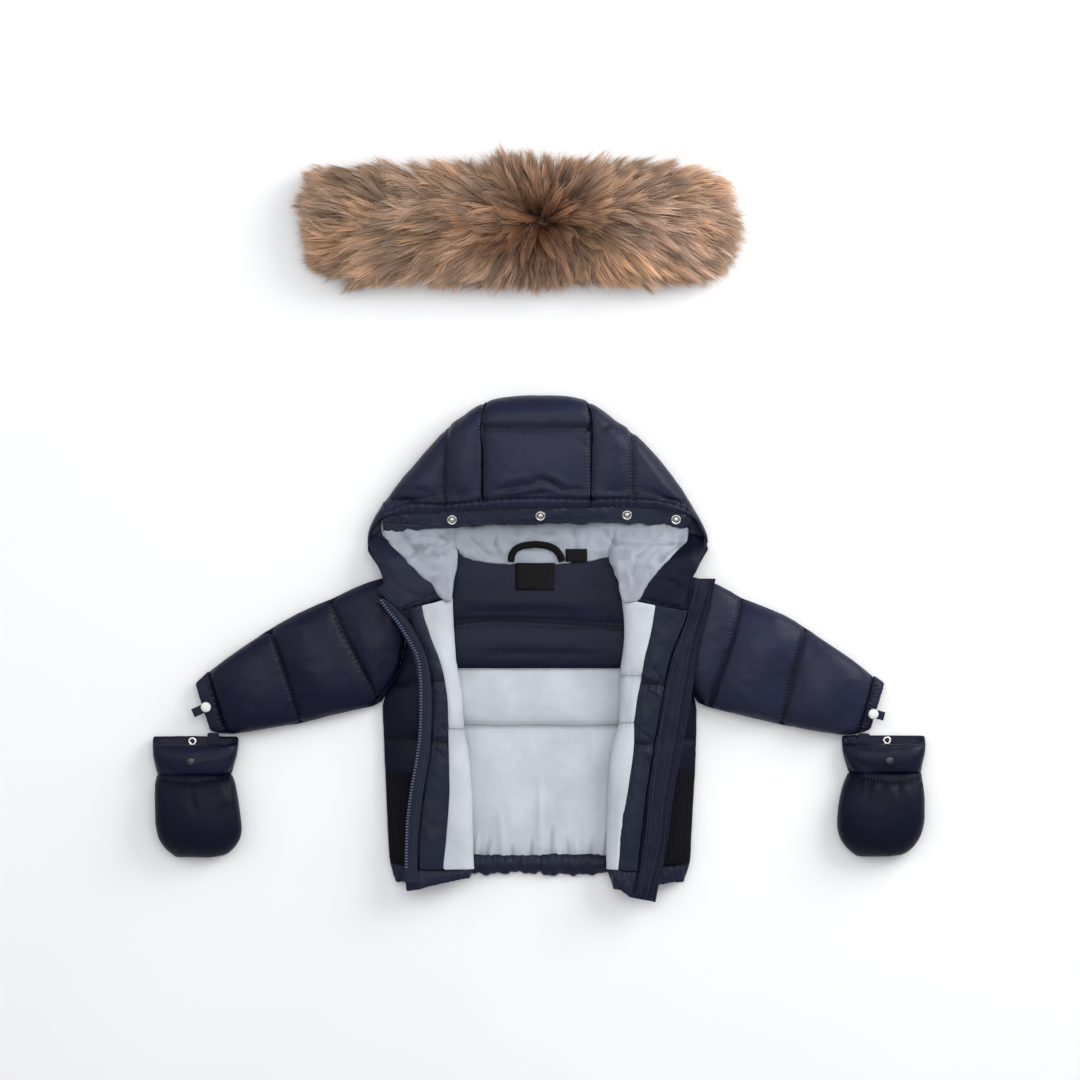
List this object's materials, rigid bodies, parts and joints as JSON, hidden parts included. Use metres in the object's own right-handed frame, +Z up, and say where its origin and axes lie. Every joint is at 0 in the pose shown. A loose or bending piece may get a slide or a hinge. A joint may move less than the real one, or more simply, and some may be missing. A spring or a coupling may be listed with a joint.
{
  "type": "down jacket",
  "caption": "Toddler's hooded down jacket laid open on its back, fronts folded back, mittens hung from the cuffs and a detached fur ruff above the hood.",
  "frame": {"origin": "middle of the layout's outline, on the surface it lies on", "axes": "+X towards the wearer's left side as laid out, +Y towards the hood, +Z up off the surface"},
  "size_m": [0.85, 0.83, 0.0611],
  "materials": {
    "shell_navy": "navy down-proof woven nylon with a soft sheen",
    "inner_navy": "navy lining nylon",
    "lining_blue": "pale blue-grey woven lining, matt",
    "rib_black": "black ribbed knit",
    "label_black": "bare black woven tape",
    "tape_navy": "navy woven tape",
    "snap_metal": "satin nickel",
    "snap_white": "white, slightly glossy",
    "snap_navy": "navy, slightly glossy",
    "fur_brown": "brown long-haired fur"
  },
  "bodies": {
    "root": {"back_shell": "shell_navy", "lining_back_upper": "inner_navy", "lining_back_lower": "lining_blue", "hem_back": "shell_navy", "front_left": "shell_navy", "front_right": "shell_navy", "hem_front_left": "shell_navy", "hem_front_right": "shell_navy", "lining_front_left": "lining_blue", "lining_front_right": "lining_blue", "facing_left": "inner_navy", "facing_right": "inner_navy", "zip_tape_left": "tape_navy", "zip_tape_right": "tape_navy", "placket": "shell_navy", "pocket_left": "rib_black", "pocket_right": "rib_black", "sleeve_left": "shell_navy", "sleeve_right": "shell_navy", "cuff_left": "shell_navy", "cuff_right": "shell_navy", "cuff_tab_left": "tape_navy", "cuff_tab_right": "tape_navy", "cuff_snap_left": "snap_white", "cuff_snap_right": "snap_white", "mitten_tether_left": "tape_navy", "mitten_tether_right": "tape_navy", "mitten_band_left": "shell_navy", "mitten_band_right": "shell_navy", "mitten_left": "shell_navy", "mitten_right": "shell_navy", "mitten_cap_left": "snap_navy", "mitten_cap_right": "snap_navy", "mitten_socket_left": "snap_metal", "mitten_socket_right": "snap_metal", "hood_side_left": "shell_navy", "hood_centre": "shell_navy", "hood_side_right": "shell_navy", "hood_lining_left": "lining_blue", "hood_lining_back": "lining_blue", "hood_lining_right": "lining_blue", "hood_rim_facing": "inner_navy", "collar_facing_left": "inner_navy", "collar_facing_right": "inner_navy", "hood_snap_1": "snap_metal", "hood_snap_2": "snap_metal", "hood_snap_3": "snap_metal", "hood_snap_4": "snap_metal", "neck_label": "label_black", "size_label": "label_black", "hang_loop": "label_black", "fur_trim": "fur_brown", "fur_tape": "tape_navy"}
  },
  "joints": []
}
